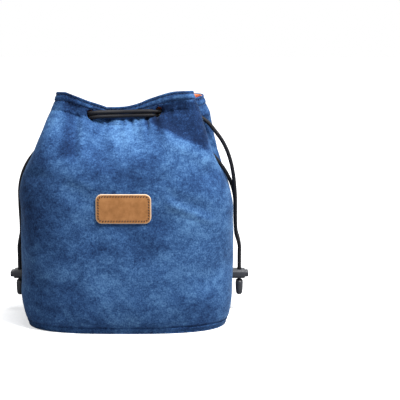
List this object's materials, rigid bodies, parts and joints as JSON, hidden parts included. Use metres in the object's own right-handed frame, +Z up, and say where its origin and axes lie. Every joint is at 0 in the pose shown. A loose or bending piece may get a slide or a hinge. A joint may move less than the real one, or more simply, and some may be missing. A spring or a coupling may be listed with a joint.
{
  "type": "drawstring lens pouch",
  "caption": "Padded drawstring pouch for a camera lens, with a folded neck drawn shut by cords, a leather patch, spring cord locks and cord ends.",
  "frame": {"origin": "middle of the base on the ground", "axes": "+Z up through the mouth, front face with the leather patch towards -Y, +X to the right seen from the front"},
  "size_m": [0.2462, 0.1259, 0.233],
  "materials": {
    "shell": "blue suede-like cloth",
    "lining": "orange plush",
    "padding": "soft foam",
    "leather": null,
    "cord": "round woven cord",
    "plastic": "satin charcoal",
    "spring": "plain wire"
  },
  "bodies": {
    "pouch": {"front_panel": "shell", "back_panel": "shell", "base_panel": "shell", "front_padding": "padding", "back_padding": "padding", "base_padding": "padding", "front_lining": "lining", "back_lining": "lining", "base_lining": "lining", "leather_patch": "leather", "left_drawcord": "cord", "right_drawcord": "cord", "left_cord_front_strand": "cord", "left_cord_back_strand": "cord", "right_cord_front_strand": "cord", "right_cord_back_strand": "cord", "left_cord_end": "plastic", "left_cord_knot": "cord", "right_cord_end": "plastic", "right_cord_knot": "cord"},
    "left_lock": {"left_lock_body": "plastic", "left_lock_spring": "spring"},
    "left_button": {"left_lock_plunger": "plastic"},
    "right_lock": {"right_lock_body": "plastic", "right_lock_spring": "spring"},
    "right_button": {"right_lock_plunger": "plastic"}
  },
  "joints": [
    {"name": "left_lock_slide", "type": "slide", "parent": "pouch", "child": "left_lock", "axis": [0, 0, 1], "range_m": [-0.002, 0.016]},
    {"name": "left_button_press", "type": "slide", "parent": "left_lock", "child": "left_button", "axis": [1, 0, 0], "range_m": [0, 0.0018], "stiffness_N_per_m": 900, "springref_m": -0.002, "deforming": ["left_lock_spring"]},
    {"name": "right_lock_slide", "type": "slide", "parent": "pouch", "child": "right_lock", "axis": [0, 0, 1], "range_m": [-0.002, 0.016]},
    {"name": "right_button_press", "type": "slide", "parent": "right_lock", "child": "right_button", "axis": [-1, 0, 0], "range_m": [0, 0.0018], "stiffness_N_per_m": 900, "springref_m": -0.002, "deforming": ["right_lock_spring"]}
  ]
}
